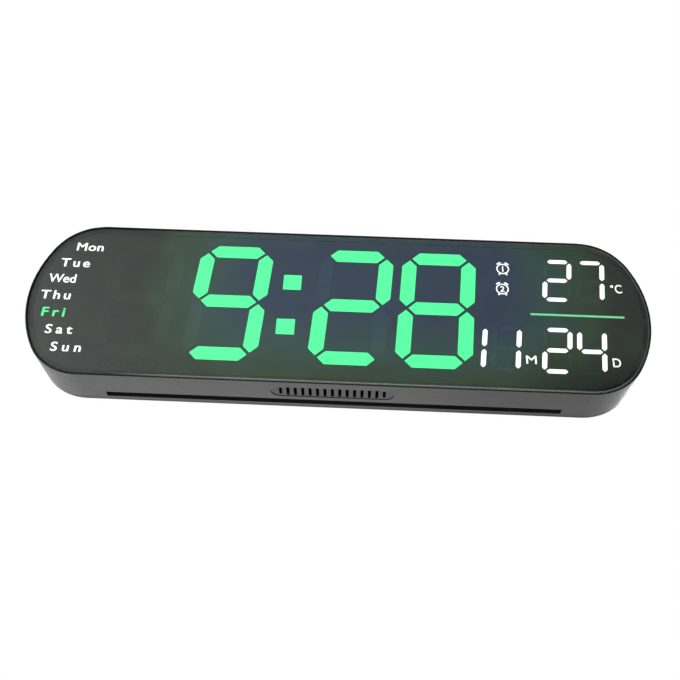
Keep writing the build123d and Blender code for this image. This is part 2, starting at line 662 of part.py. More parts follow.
def make_rear_cover():
    """Back plate with locating rib, keyholes, key holes, door seat, plug well and control board posts."""
    rib_inset = WALL + COVER_GAP + COVER_RIB_BACK
    rib = prism(capsule(rib_inset) - capsule(rib_inset + COVER_RIB_T), COVER_T, COVER_T + COVER_RIB_H)
    rib = clear_stands(rib, boss_places, BOSS_R, COVER_T, COVER_T + COVER_RIB_H)
    cover = prism(capsule(WALL + COVER_GAP), 0, COVER_T) + rib
    cover += [rod(x, z, POST_R, COVER_T, CONTROL_BACK) for x, z in control_posts]
    well_w = WELL_L + 2 * WELL_WALL
    cover += block(well_x, SOCKET_Z, well_w, WELL_H + 2 * WELL_WALL, 0, WELL_D + WELL_WALL)
    cover -= block(well_x, SOCKET_Z, WELL_L, WELL_H, -OVERRUN, WELL_D)
    mouth_back = CONTROL_BACK - SOCKET_H - SOCKET_GAP
    mouth_front = CONTROL_BACK + SOCKET_GAP
    mouth_w = SOCKET_W + 2 * SOCKET_GAP
    mouth_l = WELL_WALL + 2 * OVERRUN
    mouth_x = well_left + WELL_WALL / 2
    cover -= block(mouth_x, SOCKET_Z, mouth_l, mouth_w, mouth_back, mouth_front)
    pilot_back = CONTROL_BACK - SHORT_SCREW_L
    cover -= [rod(x, z, SCREW_R, pilot_back, CONTROL_BACK + OVERRUN) for x, z in control_posts]
    head_seat = SCREW_SINK + SCREW_HEAD_H
    cover -= [rod(x, z, SCREW_R + SCREW_CLEAR, -OVERRUN, COVER_T + OVERRUN) for x, z in boss_places]
    cover -= [rod(x, z, SCREW_HEAD_R + SCREW_CLEAR, -OVERRUN, head_seat) for x, z in boss_places]
    keyhole_slot = SlotCenterToCenter(KEYHOLE_SLOT_RUN, KEYHOLE_SLOT_W, rotation=90)
    for x, z in keyhole_places:
        cover -= rod(x, z, KEYHOLE_R, -OVERRUN, COVER_T + OVERRUN)
        cover -= prism(Pos(x, z + KEYHOLE_SLOT_RUN / 2) * keyhole_slot, -OVERRUN, COVER_T + OVERRUN)
    cover -= [rod(x, z, KEY_R + KEY_GAP, -OVERRUN, COVER_T + OVERRUN) for x, z in key_places]
    cover -= rod(cell_x, CELL_Z, DOOR_R + DOOR_GAP, -OVERRUN, DOOR_SINK + DOOR_T + DOOR_SINK)
    cover -= rod(cell_x, CELL_Z, DOOR_BOSS_R + DOOR_GAP, -OVERRUN, COVER_T + OVERRUN)
    notch_r = DOOR_BOSS_R + DOOR_LUG_OUT + DOOR_GAP
    for turn in (-DOOR_TURN_DEG, 180 - DOOR_TURN_DEG):
        cover -= sector(notch_r, DOOR_NOTCH_DEG, turn, -OVERRUN, COVER_T + OVERRUN)
    return cover


def make_battery_door():
    """Round door with a coin slot outside and two bayonet lugs inside."""
    face_front = DOOR_SINK + DOOR_T
    boss_front = face_front + DOOR_BOSS_H
    door = rod(cell_x, CELL_Z, DOOR_R, DOOR_SINK, face_front)
    door += rod(cell_x, CELL_Z, DOOR_BOSS_R, face_front, boss_front)
    lug_back = COVER_T + DOOR_GAP
    for turn in (0, 180):
        door += sector(DOOR_BOSS_R + DOOR_LUG_OUT, DOOR_LUG_DEG, turn, lug_back, lug_back + DOOR_LUG_T)
    door -= rod(cell_x, CELL_Z, DOOR_BOSS_R - DOOR_BOSS_WALL, face_front, boss_front + OVERRUN)
    slot = Pos(cell_x, CELL_Z) * SlotOverall(COIN_SLOT_L, COIN_SLOT_W)
    return door - prism(slot, DOOR_SINK, DOOR_SINK + COIN_SLOT_D)


def make_key(x, z):
    """Round key: dished cap in the cover's hole, flange behind the cover and stem on the switch."""
    flange_back = COVER_T + KEY_GAP
    flange_front = flange_back + KEY_FLANGE_T
    stem_front = CONTROL_BACK - SWITCH_H - PLUNGER_OUT
    key = rod(x, z, KEY_R, KEY_SINK, flange_back) + rod(x, z, KEY_FLANGE_R, flange_back, flange_front)
    key += rod(x, z, KEY_STEM_R, flange_front, stem_front)
    dish_r = (KEY_R**2 + KEY_DISH**2) / (2 * KEY_DISH)
    return key - Pos(x, dish_r - KEY_SINK - KEY_DISH, z) * Sphere(dish_r)


def make_plunger(x, z):
    """Moving pin of a key's switch."""
    switch_top = CONTROL_BACK - SWITCH_H
    return rod(x, z, PLUNGER_R, switch_top - PLUNGER_OUT, switch_top + PLUNGER_IN)


def make_switch(x, z):
    """Fixed case of a key's switch, bored for its plunger."""
    switch_top = CONTROL_BACK - SWITCH_H
    case = block(x, z, SWITCH_SIDE, SWITCH_SIDE, switch_top, CONTROL_BACK)
    bore_front = switch_top + PLUNGER_IN + KEY_TRAVEL + KEY_GAP
    return case - rod(x, z, PLUNGER_R + KEY_GAP, switch_top - OVERRUN, bore_front)


def make_control_board():
    """Small board behind the rear cover for the keys, the cell and the socket."""
    outline = Pos(CONTROL_X, 0) * RectangleRounded(CONTROL_W, CONTROL_H, CONTROL_CORNER_R)
    board = prism(outline, CONTROL_BACK, CONTROL_FRONT)
    hole_r = SCREW_R + SCREW_CLEAR
    hole_back = CONTROL_BACK - OVERRUN
    return board - [rod(x, z, hole_r, hole_back, CONTROL_FRONT + OVERRUN) for x, z in control_posts]


def make_cell_parts():
    """Coin cell, the round holder that it lies in and the clip over its edge."""
    holder_r = CELL_R + HOLDER_GAP + HOLDER_WALL
    cell_front = CONTROL_BACK - HOLDER_FLOOR
    cell_back = cell_front - CELL_T
    holder = rod(cell_x, CELL_Z, holder_r, cell_back, CONTROL_BACK)
    holder -= rod(cell_x, CELL_Z, CELL_R + HOLDER_GAP, cell_back - OVERRUN, cell_front)
    clip_w = HOLDER_WALL + HOLDER_GAP + CLIP_REACH
    clip_x = cell_x - holder_r + clip_w / 2
    return {
        "coin_cell": rod(cell_x, CELL_Z, CELL_R, cell_back, cell_front),
        "cell_holder": holder,
        "cell_clip": block(clip_x, CELL_Z, clip_w, CLIP_L, cell_back - CLIP_T, cell_back),
    }


def make_socket_parts():
    """Metal socket shell at the control board's edge, with the tongue that carries its contacts."""
    mouth = well_left + WELL_WALL
    shell_x = mouth - SOCKET_L / 2
    middle = CONTROL_BACK - SOCKET_H / 2
    end_plane = Plane(origin=(mouth - SOCKET_L, -middle, SOCKET_Z), x_dir=(0, 0, 1), z_dir=(1, 0, 0))
    shell = extrude(end_plane * SlotOverall(SOCKET_W, SOCKET_H), SOCKET_L)
    bore = SlotOverall(SOCKET_W - 2 * SOCKET_WALL, SOCKET_H - 2 * SOCKET_WALL)
    shell -= extrude(end_plane.offset(SOCKET_WALL) * bore, SOCKET_L)
    tongue_x = shell_x - SOCKET_L / 2 + SOCKET_WALL + TONGUE_L / 2
    tongue = block(tongue_x, SOCKET_Z, TONGUE_L, TONGUE_W, middle - TONGUE_T / 2, middle + TONGUE_T / 2)
    return {"socket_shell": shell, "socket_tongue": tongue}


def make_header_parts():
    """Pin strip on the control board and the socket strip on the circuit board that takes its pins."""
    header_l = PIN_COUNT * PIN_PITCH
    header_x = control_right - HEADER_INSET
    pin_xs = [header_x + (row - (PIN_COUNT - 1) / 2) * PIN_PITCH for row in range(PIN_COUNT)]
    base_front = CONTROL_FRONT + HEADER_BASE
    strip = block(header_x, HEADER_Z, header_l, HEADER_W, CONTROL_FRONT, base_front)
    strip += [block(x, HEADER_Z, PIN_SIDE, PIN_SIDE, base_front, base_front + PIN_L) for x in pin_xs]
    socket = block(header_x, HEADER_Z, header_l, HEADER_W, base_front, BOARD_BACK)
    hole = PIN_SIDE + 2 * PIN_CLEAR
    hole_front = base_front + PIN_L + PIN_CLEAR
    socket -= [block(x, HEADER_Z, hole, hole, base_front - OVERRUN, hole_front) for x in pin_xs]
    return {"pin_header": strip, "header_socket": socket}


board_grip = BOARD_T + SHORT_SCREW_L
control_grip = CONTROL_T + SHORT_SCREW_L
nodes = {
    "front_frame": make_front_frame(),
    "front_panel": make_front_panel(),
    "panel_tape": make_panel_tape(),
    "display_mask": make_display_mask(),
    "light_box": make_light_box(),
    "main_board": make_main_board(),
    "board_leds": make_leds(),
    "board_screws": group(screw(x, z, BOARD_BACK, board_grip, 1) for x, z in post_places),
    "rear_cover": make_rear_cover(),
    "cover_screws": group(screw(x, z, SCREW_SINK + SCREW_HEAD_H, SCREW_L, 1) for x, z in boss_places),
    "battery_door": make_battery_door(),
    "control_board": make_control_board(),
    "control_screws": group(screw(x, z, CONTROL_FRONT, control_grip, -1) for x, z in control_posts),
    "key_switches": group(make_switch(x, z) for x, z in key_places),
}
nodes |= make_readouts()
nodes |= make_windows()
nodes |= make_board_parts()
nodes |= make_cell_parts()
nodes |= make_socket_parts()
nodes |= make_header_parts()
for key_name, (key_x, key_z) in zip(KEY_NAMES, key_places):
    nodes[key_name] = make_key(key_x, key_z)
    nodes[f"{key_name}_plunger"] = make_plunger(key_x, key_z)

os.makedirs("parts", exist_ok=True)
for node_name, node in nodes.items():
    export_step(node, f"parts/{node_name}.step")
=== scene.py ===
import json
import math

import bmesh
import bpy
from mathutils import Matrix, Vector


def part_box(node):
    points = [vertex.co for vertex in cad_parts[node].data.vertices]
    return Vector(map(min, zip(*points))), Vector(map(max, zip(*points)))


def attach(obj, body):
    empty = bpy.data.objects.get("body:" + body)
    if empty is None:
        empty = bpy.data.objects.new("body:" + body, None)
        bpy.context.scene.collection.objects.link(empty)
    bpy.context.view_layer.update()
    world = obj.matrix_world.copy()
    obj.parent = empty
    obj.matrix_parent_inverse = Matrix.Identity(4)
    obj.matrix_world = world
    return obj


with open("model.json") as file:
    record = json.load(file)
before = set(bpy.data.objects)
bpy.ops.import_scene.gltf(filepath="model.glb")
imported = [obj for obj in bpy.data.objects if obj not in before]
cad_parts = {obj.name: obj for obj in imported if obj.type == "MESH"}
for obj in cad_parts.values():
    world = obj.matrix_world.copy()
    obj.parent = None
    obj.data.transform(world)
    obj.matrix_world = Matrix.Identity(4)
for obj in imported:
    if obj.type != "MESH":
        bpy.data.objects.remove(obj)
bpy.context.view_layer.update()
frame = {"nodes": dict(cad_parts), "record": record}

# Digital wall clock, hung as in use. Lengths below are millimetres, turned into metres by MM.
MM = 0.001
FULL_TURN_DEG = 360

# Camera, from the fit of the photograph's outline
CAMERA_PLACE = (18.8, -547.8, -355.5)
CAMERA_FORWARD = (-0.0252, 0.8419, 0.5391)
CAMERA_UP = (-0.0384, -0.5396, 0.841)
CAMERA_LENS = 50
CAMERA_SENSOR = 36

# Weekday names on the mask: left edge, lower edge, width and height of each word
WEEKDAYS = {
    "Mon": (-181.7, 39.6, 18.5, 6.8),
    "Tue": (-190.2, 25.5, 20.1, 7.0),
    "Wed": (-195.7, 12.1, 18.5, 7.0),
    "Thu": (-198.3, -1.6, 20.2, 7.0),
    "Fri": (-194.5, -15.4, 15.3, 7.0),
    "Sat": (-189.4, -28.8, 17.9, 7.0),
    "Sun": (-183.1, -42.2, 19.9, 6.9),
}
TODAY = "Fri"

# Unit letters, as left edge, lower edge, width and height, and the degree sign
UNITS = {
    "C": (185.8, 20.1, 4.6, 6.9),
    "M": (123.0, -37.9, 6.7, 6.1),
    "D": (178.2, -38.0, 5.1, 6.4),
}
DEGREE_PLACE = (183.9, 25.5)
DEGREE_R = 1.0
DEGREE_HOLE_SHARE = 0.2

# Alarm signs: a ring with a number, two bells over it and two feet under it
ALARMS = {"1": (111.4, 37.0), "2": (110.4, 20.1)}
ALARM_R = 4.3
ALARM_STROKE = 0.78
BELL_GAP = 0.6
BELL_T = 1.0
BELL_ANGLES = ((42, 74), (104, 136))
FOOT_L = 1.4
FOOT_ANGLES = ((292, 304), (236, 248))
ALARM_NUMBER_H = 4.5
ARC_STEP_DEG = 6
LEAST_ARC_STEPS = 2

# Weight added round the letters, in the typeface's own units, and how much of it goes up and down
WEEKDAY_WEIGHT = 0.018
UNIT_WEIGHT = 0.006
ALARM_WEIGHT = 0.012
WEIGHT_UP_SHARE = 0.35

# Typeface: spacings tried on a word, how much its letters are widened, and its drawing in its own units
TIGHT_SPACING = 1.0
LOOSE_SPACING = 2.0
LETTER_WIDEN_SHARE = 1.07
TEXT_HALF_T = 0.5
TEXT_CURVE_STEPS = 6
TEXT_WELD = 0.0001

# Side walls of a letter: tilt past which a face is no wall, digits that tell walls apart, sharpest corner
WALL_TILT = 0.5
WALL_DIGITS = 2
SHARPEST_CORNER = 0.5

# Share of the air between the mask and the panel that the letters fill
LETTER_AIR_SHARE = 0.6

# Contacts on the power socket's tongue
CONTACT_COUNT = 6
CONTACT_W_SHARE = 0.09
CONTACT_L_SHARE = 0.7
CONTACT_T = 0.06
CONTACT_BEVEL_STEPS = 2

# Noise over the surfaces: its detail, and the values between which its colours and numbers change
NOISE_DETAIL = 3.0
COLOUR_START, COLOUR_END = 0.35, 0.65
NUMBER_START, NUMBER_END = 0.3, 0.7

# Plastics: name, darker and paler colour, range of roughness, fineness and depth of the grain
PLASTICS = {
    "cover": ("grained_cover", (0.023, 0.023, 0.024), (0.027, 0.027, 0.028), (0.52, 0.58), 1800, 0.03),
    "light_box": ("black_moulding", (0.03, 0.03, 0.03), (0.04, 0.04, 0.04), (0.5, 0.6), 1500, 0.01),
    "light": ("clear_resin", (0.7, 0.68, 0.4), (0.8, 0.78, 0.5), (0.15, 0.25), 900, 0.004),
    "chip": ("black_resin", (0.02, 0.02, 0.022), (0.03, 0.03, 0.032), (0.45, 0.6), 2400, 0.008),
    "key": ("satin_key", (0.07, 0.07, 0.073), (0.085, 0.085, 0.09), (0.36, 0.46), 2600, 0.01),
}
HOUSING_PLASTIC = ("satin_housing", (0.016, 0.016, 0.017), (0.021, 0.021, 0.022), (0.27, 0.33), 3200, 0.006)
FLOOR_PLASTIC = ("pale_floor", (0.8, 0.8, 0.8), (0.83, 0.83, 0.83), (0.7, 0.8), 40, 0.1)
PLASTIC_CLOUD_SCALE = 60
PLASTIC_GLOSS_SCALE = 140
PLASTIC_GRAIN_DETAIL = 2.0

# Housing: its rim just behind its front, where a face turns to the front, blackened as painted shade for the
# shadow line round the panel, and its lip before its back, darkened and duller as painted shade
RIM_SHADE_DEPTH = 1.0
RIM_SHADE_TURN_START, RIM_SHADE_TURN_END = -0.3, -0.8
RIM_SHADE_COLOUR = (0.005, 0.005, 0.005)
LIP_SHADE_DEPTH = 5.6
LIP_SHADE_COLOUR = (0.012, 0.012, 0.012)
BODY_SHINE, LIP_SHINE, RIM_SHINE = 0.4, 0.25, 0.15

# Metals: name, darker and paler colour, range of roughness, and how streaks are drawn out along the axes
METALS = {
    "can": ("drawn_can", (0.55, 0.55, 0.57), (0.65, 0.65, 0.67), (0.25, 0.35), (1, 0.1, 1)),
    "metal": ("plated_steel", (0.5, 0.5, 0.5), (0.62, 0.62, 0.6), (0.24, 0.36), (1, 0.15, 0.3)),
}
CONTACT_METAL = ("contact_gold", (0.8, 0.55, 0.2), (0.9, 0.65, 0.28), (0.2, 0.3), (0.1, 1, 1))
STREAK_SCALE = 900
STREAK_DEPTH = 0.004

# Smoked panel: the painted reflection of the surroundings on its face, its clear back, and its paler edge,
# partly frosted and partly a painted highlight, which starts and is full at places along it
PANEL_REFLECTION_COLOURS = ((0.09, 0.099, 0.092), (0.1, 0.111, 0.102))
PANEL_REFLECTION_SCALE = 9
PANEL_BARE_COLOUR = (0.006, 0.007, 0.006)
PANEL_EDGE_HIGHLIGHT_COLOUR = (0.85, 0.86, 0.85)
PANEL_EDGE_HIGHLIGHT_PLACES = (-142, -108)
PANEL_EDGE_HIGHLIGHT_TURN_START, PANEL_EDGE_HIGHLIGHT_TURN_END = 0.95, 0.8
PANEL_ROUGHNESS = (0.31, 0.34)
PANEL_GLOSS_SCALE = 25
PANEL_COVER_SHARE = 0.25
PANEL_SHINE = 1.0

# Films and dark diffusers behind the panel: name, and how light against the colours of the film and its
# painted glow
FILMS = {
    "tape": ("panel_tape", 0.9),
    "mask": ("printed_mask", 1.0),
    # the dark diffusers are lighter than the mask, partly as paler resin and partly as painted light leaking
    # from the lit segments beside them
    "unlit": ("dark_diffuser", 1.25),
}
FILM_ROUGHNESS = (0.55, 0.65)
FILM_GLOSS_SCALE = 60
FILM_GLOSS_DETAIL = 1.0
FILM_SHINE = 0.2

# Painted glow of the lit digits' light on the film behind the panel, along the length and up the height:
# its middle, how far it is full, where it ends, its colours going inward and its clouds
DIGIT_GLOW_MIDDLE = (26, 20)
DIGIT_GLOW_FULL = (84, 25)
DIGIT_GLOW_END = (162, 95)
DIGIT_GLOW_COLOURS = (
    (0.0, (0.031, 0.043, 0.038)),
    (0.3, (0.049, 0.122, 0.049)),
    (0.62, (0.057, 0.167, 0.155)),
    (1.0, (0.047, 0.1, 0.205)),
)
DIGIT_GLOW_CLOUDS = (-0.09, 0.09)
DIGIT_GLOW_CLOUD_SCALE = 40

# Lower right corner of the panel, along and up, where the painted glow and painted reflection die away as
# painted shade
SHADED_CORNER_START = (105, -28)
SHADED_CORNER_END = (175, -54)

# Lit diffusers: name, colour and strength
LIGHTS = {
    "lit_green": ("green_light", (0.07, 1.0, 0.3), 1.7),
    "lit_line": ("line_light", (0.25, 1.0, 0.46), 0.83),
    "lit_white": ("white_light", (1.0, 1.0, 1.0), 1.9),
}
MILK_SCALE = 500
MILK_DIM_SHARE = 0.8
MILK_ROUGHNESS = (0.4, 0.5)

# Circuit board: paler tracks round darker fields, under a lacquer
TRACK_COLOUR = (0.03, 0.2, 0.08)
FIELD_COLOUR = (0.012, 0.09, 0.035)
FIELD_SCALE = 140
FIELD_START, FIELD_END = 0.04, 0.07
FIELD_DEPTH = 0.02
LACQUER_ROUGHNESS = (0.28, 0.4)
LACQUER_SCALE = 200

# Nodes with a look of their own: the divider is dimmer than the digits
OWN_LOOKS = {"divider_bar": "lit_line"}

# Stage: the floor, and each lamp's place, side and power in watts
FLOOR_DROP = 900
FLOOR_SIDE = 40000
FLOOR_GLOW = 0.62
LAMPS = {
    "key": ((-1300, -900, 350), 900, 26),
    "fill": ((0, -350, -650), 500, 1.2),
    "under": ((-290, 760, -550), 1000, 1.34),
    "back": ((300, 900, 500), 600, 8),
}

# Strengths of the surroundings: as seen, as plain light, and in reflections of the dim room,
# whose side and reach round that side follow
WHITE_STRENGTH = 1.0
PLAIN_STRENGTH = 0.25
ROOM_STRENGTH = 0.08
ROOM_SIDE = (0.55, -0.7, 0.45)
ROOM_START, ROOM_END = 0.45, 0.95


def start_material(name):
    """New node material, with its shader and the object's own coordinates."""
    material = bpy.data.materials.new(name)
    material.use_nodes = True
    tree = material.node_tree
    place = tree.nodes.new("ShaderNodeTexCoord").outputs["Object"]
    return material, tree, tree.nodes["Principled BSDF"], place


def feed(tree, socket, value):
    """Plain number set on a socket, or a node's output linked to it."""
    if isinstance(value, bpy.types.NodeSocket):
        tree.links.new(value, socket)
    else:
        socket.default_value = value


def stretched(tree, place, factors):
    """Coordinates drawn out along the axes, for brushed streaks."""
    mapping = tree.nodes.new("ShaderNodeMapping")
    mapping.inputs["Scale"].default_value = factors
    tree.links.new(place, mapping.inputs["Vector"])
    return mapping.outputs["Vector"]


def speckle(tree, place, scale, detail=NOISE_DETAIL):
    """Noise between 0 and 1 over the surface."""
    noise = tree.nodes.new("ShaderNodeTexNoise")
    noise.inputs["Scale"].default_value = scale
    noise.inputs["Detail"].default_value = detail
    tree.links.new(place, noise.inputs["Vector"])
    return noise.outputs["Fac"]


def ramp(tree, value, low, high, start=COLOUR_START, end=COLOUR_END):
    """Colour that runs from low to high as a value goes from start to end."""
    node = tree.nodes.new("ShaderNodeValToRGB")
    for stop, position, colour in zip(node.color_ramp.elements, (start, end), (low, high)):
        stop.position = position
        stop.color = (*colour, 1)
    tree.links.new(value, node.inputs["Fac"])
    return node.outputs["Color"]


def between(tree, value, start, end, low=0.0, high=1.0):
    """Number that goes from low to high as a value goes from start to end."""
    node = tree.nodes.new("ShaderNodeMapRange")
    node.inputs["From Min"].default_value = start
    node.inputs["From Max"].default_value = end
    node.inputs["To Min"].default_value = low
    node.inputs["To Max"].default_value = high
    tree.links.new(value, node.inputs["Value"])
    return node.outputs["Result"]


def spread(tree, noise, low, high):
    """Number that runs from low to high with a noise."""
    return between(tree, noise, NUMBER_START, NUMBER_END, low, high)


def rest_of(tree, share):
    """What a share leaves of 1."""
    return between(tree, share, 0.0, 1.0, 1.0, 0.0)


def worked_out(tree, operation, *values):
    """Number worked out from others, each plain or from a node."""
    node = tree.nodes.new("ShaderNodeMath")
    node.operation = operation
    for socket, value in zip(node.inputs, values):
        feed(tree, socket, value)
    return node.outputs["Value"]


def switched(tree, value, off, on):
    """Off number going over to the on number as a value rises; either may come from a node."""
    mix = tree.nodes.new("ShaderNodeMix")
    tree.links.new(value, mix.inputs["Factor"])
    feed(tree, mix.inputs["A"], off)
    feed(tree, mix.inputs["B"], on)
    return mix.outputs["Result"]


def blend_colours(tree, value, first, second):
    """First colour, from a node, going over to a plain second one as a value rises."""
    mix = tree.nodes.new("ShaderNodeMix")
    mix.data_type = "RGBA"
    tree.links.new(value, mix.inputs["Factor"])
    tree.links.new(first, mix.inputs["A"])
    mix.inputs["B"].default_value = (*second, 1)
    return mix.outputs["Result"]


def axes(tree, vector):
    """The three parts of a vector, by their letters."""
    split = tree.nodes.new("ShaderNodeSeparateXYZ")
    tree.links.new(vector, split.inputs["Vector"])
    return split.outputs


def bump(tree, shader, value, depth):
    """Relief of a noise value on a shader's surface."""
    node = tree.nodes.new("ShaderNodeBump")
    node.inputs["Distance"].default_value = depth * MM
    tree.links.new(value, node.inputs["Height"])
    tree.links.new(node.outputs["Normal"], shader.inputs["Normal"])


def plastic(name, low, high, roughness, grain, depth):
    """Moulded plastic: slightly cloudy colour, uneven gloss and a fine grain."""
    material, tree, shader, place = start_material(name)
    clouds = speckle(tree, place, PLASTIC_CLOUD_SCALE)
    gloss = speckle(tree, place, PLASTIC_GLOSS_SCALE)
    tree.links.new(ramp(tree, clouds, low, high), shader.inputs["Base Color"])
    tree.links.new(spread(tree, gloss, *roughness), shader.inputs["Roughness"])
    bump(tree, shader, speckle(tree, place, grain, PLASTIC_GRAIN_DETAIL), depth)
    return material


def housing_plastic():
    """Satin plastic of the housing, with painted shade: darker and duller on the lip along its back, and
    blackest on its front rim.
    """
    material = plastic(*HOUSING_PLASTIC)
    tree = material.node_tree
    shader = tree.nodes["Principled BSDF"]
    source = tree.nodes["Texture Coordinate"].outputs
    depth = axes(tree, source["Object"])["Y"]
    front, back = (corner[1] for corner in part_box("front_frame"))
    # painted shade: the lip along the back is darkened towards the back edge
    lip_shade = between(tree, depth, back - LIP_SHADE_DEPTH * MM, back - LIP_SHADE_DEPTH / 2 * MM)
    # painted shade: front-facing faces near the front are blackened as the shadow line round the panel
    turned = between(tree, axes(tree, source["Normal"])["Y"], RIM_SHADE_TURN_START, RIM_SHADE_TURN_END)
    near = between(tree, depth, front + 2 * RIM_SHADE_DEPTH * MM, front + RIM_SHADE_DEPTH * MM)
    rim_shade = worked_out(tree, "MULTIPLY", turned, near)
    body_colour = shader.inputs["Base Color"].links[0].from_socket
    lip_shaded = blend_colours(tree, lip_shade, body_colour, LIP_SHADE_COLOUR)
    tree.links.new(blend_colours(tree, rim_shade, lip_shaded, RIM_SHADE_COLOUR), shader.inputs["Base Color"])
    shine = switched(tree, rim_shade, switched(tree, lip_shade, BODY_SHINE, LIP_SHINE), RIM_SHINE)
    tree.links.new(shine, shader.inputs["Specular IOR Level"])
    return material


def metal(name, low, high, roughness, factors):
    """Bare or plated metal with streaks drawn out along the axes."""
    material, tree, shader, place = start_material(name)
    streaks = speckle(tree, stretched(tree, place, factors), STREAK_SCALE)
    tree.links.new(ramp(tree, streaks, low, high), shader.inputs["Base Color"])
    tree.links.new(spread(tree, streaks, *roughness), shader.inputs["Roughness"])
    shader.inputs["Metallic"].default_value = 1.0
    bump(tree, shader, streaks, STREAK_DEPTH)
    return material


def outside_corner_shade(tree, place):
    """Number that is 1 over most of the panel and goes to 0 in its lower right corner, where it paints
    shade.
    """
    parts = axes(tree, place)
    along, up = (between(tree, parts[axis], start * MM, end * MM)
                 for axis, start, end in zip("XZ", SHADED_CORNER_START, SHADED_CORNER_END))
    return rest_of(tree, worked_out(tree, "MULTIPLY", along, up))


def panel_edge_highlight(tree, place):
    """Number that is 1 on the panel's machined edge, where its paler colour and painted highlight go, from
    its start along the length, and 0 on its faces.
    """
    across = axes(tree, tree.nodes["Texture Coordinate"].outputs["Normal"])["Y"]
    facing = worked_out(tree, "ABSOLUTE", across)
    turned = between(tree, facing, PANEL_EDGE_HIGHLIGHT_TURN_START, PANEL_EDGE_HIGHLIGHT_TURN_END)
    start, end = PANEL_EDGE_HIGHLIGHT_PLACES
    along = between(tree, axes(tree, place)["X"], start * MM, end * MM)
    return worked_out(tree, "MULTIPLY", turned, along)


def smoked_panel():
    """See-through dark sheet: a painted reflection of the surroundings on its face, a clear dark back, and a
    paler machined edge that is partly frosted and partly a painted highlight.
    """
    material, tree, shader, place = start_material("smoked_panel")
    low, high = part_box("front_panel")
    # painted reflection: the front face carries a grey that stands in for the reflected surroundings, while
    # the back stays bare
    front = rest_of(tree, between(tree, axes(tree, place)["Y"], low[1], high[1]))
    # painted shade: the painted reflection dies away in the lower right corner
    reflection_share = worked_out(tree, "MULTIPLY", front, outside_corner_shade(tree, place))
    painted_reflection = ramp(tree, speckle(tree, place, PANEL_REFLECTION_SCALE), *PANEL_REFLECTION_COLOURS)
    face_colour = blend_colours(tree, rest_of(tree, reflection_share), painted_reflection, PANEL_BARE_COLOUR)
    # painted highlight: the edge is paler, partly as frosted acrylic and partly as the light it catches, and
    # only from a place along the length
    colour = blend_colours(tree, panel_edge_highlight(tree, place), face_colour, PANEL_EDGE_HIGHLIGHT_COLOUR)
    gloss = speckle(tree, place, PANEL_GLOSS_SCALE)
    tree.links.new(colour, shader.inputs["Base Color"])
    tree.links.new(spread(tree, gloss, *PANEL_ROUGHNESS), shader.inputs["Roughness"])
    shader.inputs["Alpha"].default_value = PANEL_COVER_SHARE
    shader.inputs["Specular IOR Level"].default_value = PANEL_SHINE
    material.surface_render_method = "BLENDED"
    return material


def falloff(tree, value, middle, full, end):
    """Number that is 1 up to a full distance from a middle and fades to 0 at its end."""
    distance = worked_out(tree, "SUBTRACT", value, middle * MM)
    return between(tree, worked_out(tree, "ABSOLUTE", distance), end * MM, full * MM)


def display_film(name, shade):
    """Film or resin behind the panel: grey, with a cloudy green and blue painted glow round the time, where
    the lit digits' light spills onto it.
    """
    material, tree, shader, place = start_material(name)
    parts = axes(tree, place)
    along, up = (falloff(tree, parts[axis], *reach)
                 for axis, reach in zip("XZ", zip(DIGIT_GLOW_MIDDLE, DIGIT_GLOW_FULL, DIGIT_GLOW_END)))
    even = worked_out(tree, "MULTIPLY", along, up)
    clouds = spread(tree, speckle(tree, place, DIGIT_GLOW_CLOUD_SCALE), *DIGIT_GLOW_CLOUDS)
    cloudy = worked_out(tree, "ADD", even, clouds)
    # painted glow: the lit digits' light spilling onto the film is painted into its colour
    painted_glow = tree.nodes.new("ShaderNodeValToRGB")
    stops = painted_glow.color_ramp.elements
    stops[-1].position = DIGIT_GLOW_COLOURS[-1][0]
    for position, _ in DIGIT_GLOW_COLOURS[1:-1]:
        stops.new(position)
    for stop, (_, colour) in zip(stops, DIGIT_GLOW_COLOURS):
        stop.color = (*(shade * part for part in colour), 1)
    # painted shade: the painted glow dies away in the lower right corner
    tree.links.new(worked_out(tree, "MULTIPLY", cloudy, outside_corner_shade(tree, place)), painted_glow.inputs["Fac"])
    gloss = speckle(tree, place, FILM_GLOSS_SCALE, FILM_GLOSS_DETAIL)
    tree.links.new(painted_glow.outputs["Color"], shader.inputs["Base Color"])
    tree.links.new(spread(tree, gloss, *FILM_ROUGHNESS), shader.inputs["Roughness"])
    shader.inputs["Specular IOR Level"].default_value = FILM_SHINE
    return material


def glow(name, colour, strength):
    """Lit diffuser: a milky resin that shines evenly."""
    material, tree, shader, place = start_material(name)
    milk = speckle(tree, place, MILK_SCALE)
    dimmed = tuple(MILK_DIM_SHARE * part for part in colour)
    tree.links.new(ramp(tree, milk, dimmed, colour), shader.inputs["Base Color"])
    tree.links.new(spread(tree, milk, *MILK_ROUGHNESS), shader.inputs["Roughness"])
    shader.inputs["Emission Color"].default_value = (*colour, 1)
    shader.inputs["Emission Strength"].default_value = strength
    return material


def solder_mask():
    """Green circuit board with paler tracks under the lacquer."""
    material, tree, shader, place = start_material("solder_mask")
    cells = tree.nodes.new("ShaderNodeTexVoronoi")
    cells.feature = "DISTANCE_TO_EDGE"
    cells.inputs["Scale"].default_value = FIELD_SCALE
    tree.links.new(place, cells.inputs["Vector"])
    inward = cells.outputs["Distance"]
    colour = ramp(tree, inward, TRACK_COLOUR, FIELD_COLOUR, FIELD_START, FIELD_END)
    gloss = speckle(tree, place, LACQUER_SCALE)
    tree.links.new(colour, shader.inputs["Base Color"])
    tree.links.new(spread(tree, gloss, *LACQUER_ROUGHNESS), shader.inputs["Roughness"])
    bump(tree, shader, inward, FIELD_DEPTH)
    return material


